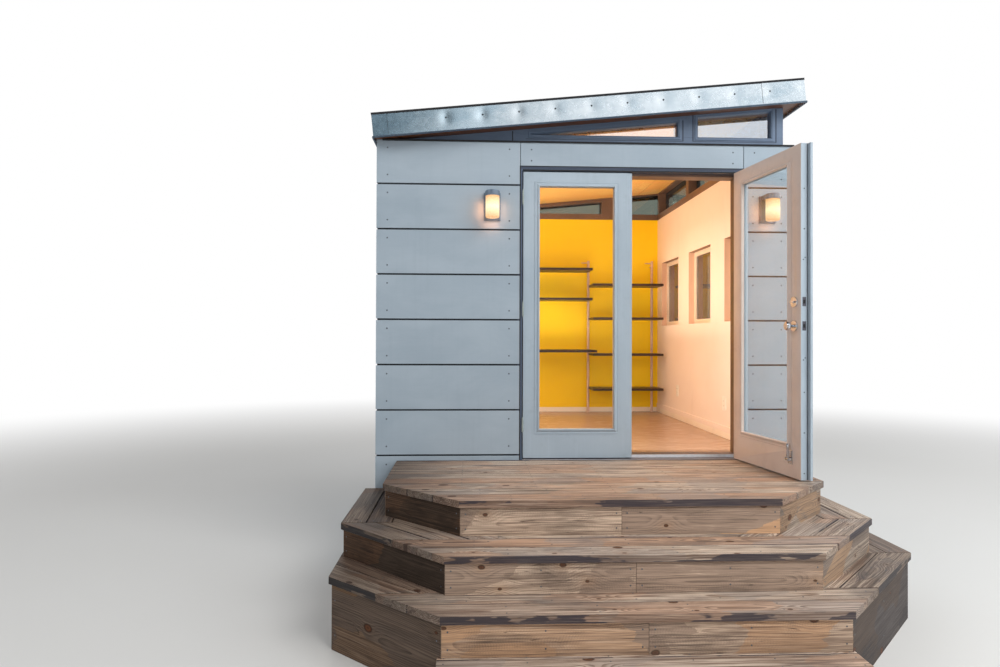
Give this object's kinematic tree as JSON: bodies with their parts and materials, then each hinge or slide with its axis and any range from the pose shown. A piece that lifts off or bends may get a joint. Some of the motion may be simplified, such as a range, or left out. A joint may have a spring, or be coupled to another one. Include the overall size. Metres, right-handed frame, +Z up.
{
  "type": "garden office pod",
  "caption": "Garden office pod with a mono-pitch roof, high windows, glazed double doors, a timber landing and cut-corner steps.",
  "frame": {"origin": "on the ground under the middle of the room, at the foot of the centre pier", "axes": "+X along the door wall towards the high side of the roof, +Y from the door wall into the room, +Z up"},
  "size_m": [3.284, 5.261, 3.4588],
  "materials": {
    "concrete": "rough",
    "dark_membrane": "matt",
    "floor_laminate": "satin",
    "wall_core": "matt",
    "wall_warm_white": "matt",
    "wall_yellow": "matt",
    "cladding": "matt",
    "slate_paint": "satin",
    "pane": "clear",
    "ceiling_pine": "satin",
    "roof_core": "matt",
    "galvanised": "spangled",
    "door_paint": "satin",
    "sill_metal": "satin",
    "hinge_brass": "satin",
    "lock_metal": "satin",
    "sash_wood": "satin",
    "lamp_metal": "satin",
    "lamp_glass": "frosted",
    "deck_timber": "weathered",
    "frame_timber": "rough",
    "white_paint": "satin",
    "shelf_walnut": "satin",
    "post_wood": "satin"
  },
  "bodies": {
    "pod": {"foundation": "concrete", "floor_deck": "dark_membrane", "floor_boards": "floor_laminate", "front_wall_left": "wall_core", "front_wall_right": "wall_core", "front_wall_header": "wall_core", "left_wall": "wall_core", "right_wall": "wall_warm_white", "back_wall": "wall_yellow", "front_cladding": "cladding", "left_cladding": "cladding", "right_cladding": "cladding", "back_cladding": "cladding", "ledge_flashing": "dark_membrane", "front_clerestory_frame": "slate_paint", "right_clerestory_frame": "slate_paint", "back_clerestory_frame": "slate_paint", "window_glass": "pane", "ceiling_boards": "ceiling_pine", "roof_panel": "roof_core", "roof_membrane": "dark_membrane", "roof_fascia": "galvanised", "door_frame": "slate_paint", "door_sill": "sill_metal", "door_hinges": "hinge_brass", "side_window_frames": "sash_wood", "lamp_bodies": "lamp_metal", "lamp_shades": "lamp_glass", "landing_boards": "deck_timber", "second_step_boards": "deck_timber", "third_step_boards": "deck_timber", "fourth_step_boards": "deck_timber", "step_skirts": "deck_timber", "step_frame": "frame_timber", "baseboards": "white_paint", "shelf_posts": "post_wood", "shelf_boards": "shelf_walnut"},
    "left_leaf": {"left_leaf": "door_paint", "left_leaf_glass": "pane", "left_leaf_hinges": "hinge_brass"},
    "right_leaf": {"right_leaf": "door_paint", "right_leaf_glass": "pane", "right_leaf_hinges": "hinge_brass", "meeting_strip": "door_paint", "lock_plates": "lock_metal", "holder_bracket": "hinge_brass"},
    "knob": {"door_knob": "lock_metal"},
    "thumb_turn": {"thumb_turn": "lock_metal"},
    "holder": {"holder_arm": "hinge_brass"}
  },
  "joints": [
    {"name": "left_door", "type": "hinge", "parent": "pod", "child": "left_leaf", "pos_m": [-0.4575, -1.562, 1.8], "axis": [0, 0, -1], "range_deg": [0, 130]},
    {"name": "right_door", "type": "hinge", "parent": "pod", "child": "right_leaf", "pos_m": [1.1065, -1.562, 1.8], "axis": [0, 0, 1], "range_deg": [-98, 32]},
    {"name": "knob_turn", "type": "hinge", "parent": "right_leaf", "child": "knob", "pos_m": [1.16774, -2.27794, 1.695], "axis": [-0.9903, -0.1392, 0], "range_deg": [-60, 60], "stiffness_Nm_per_rad": 0.3},
    {"name": "bolt_turn", "type": "hinge", "parent": "right_leaf", "child": "thumb_turn", "pos_m": [1.16774, -2.27794, 1.841], "axis": [-0.9903, -0.1392, 0], "range_deg": [0, 90]},
    {"name": "holder_kick", "type": "hinge", "parent": "right_leaf", "child": "holder", "pos_m": [1.12016, -2.24121, 0.88], "axis": [0.1392, -0.9903, 0], "range_deg": [0, 150]}
  ]
}
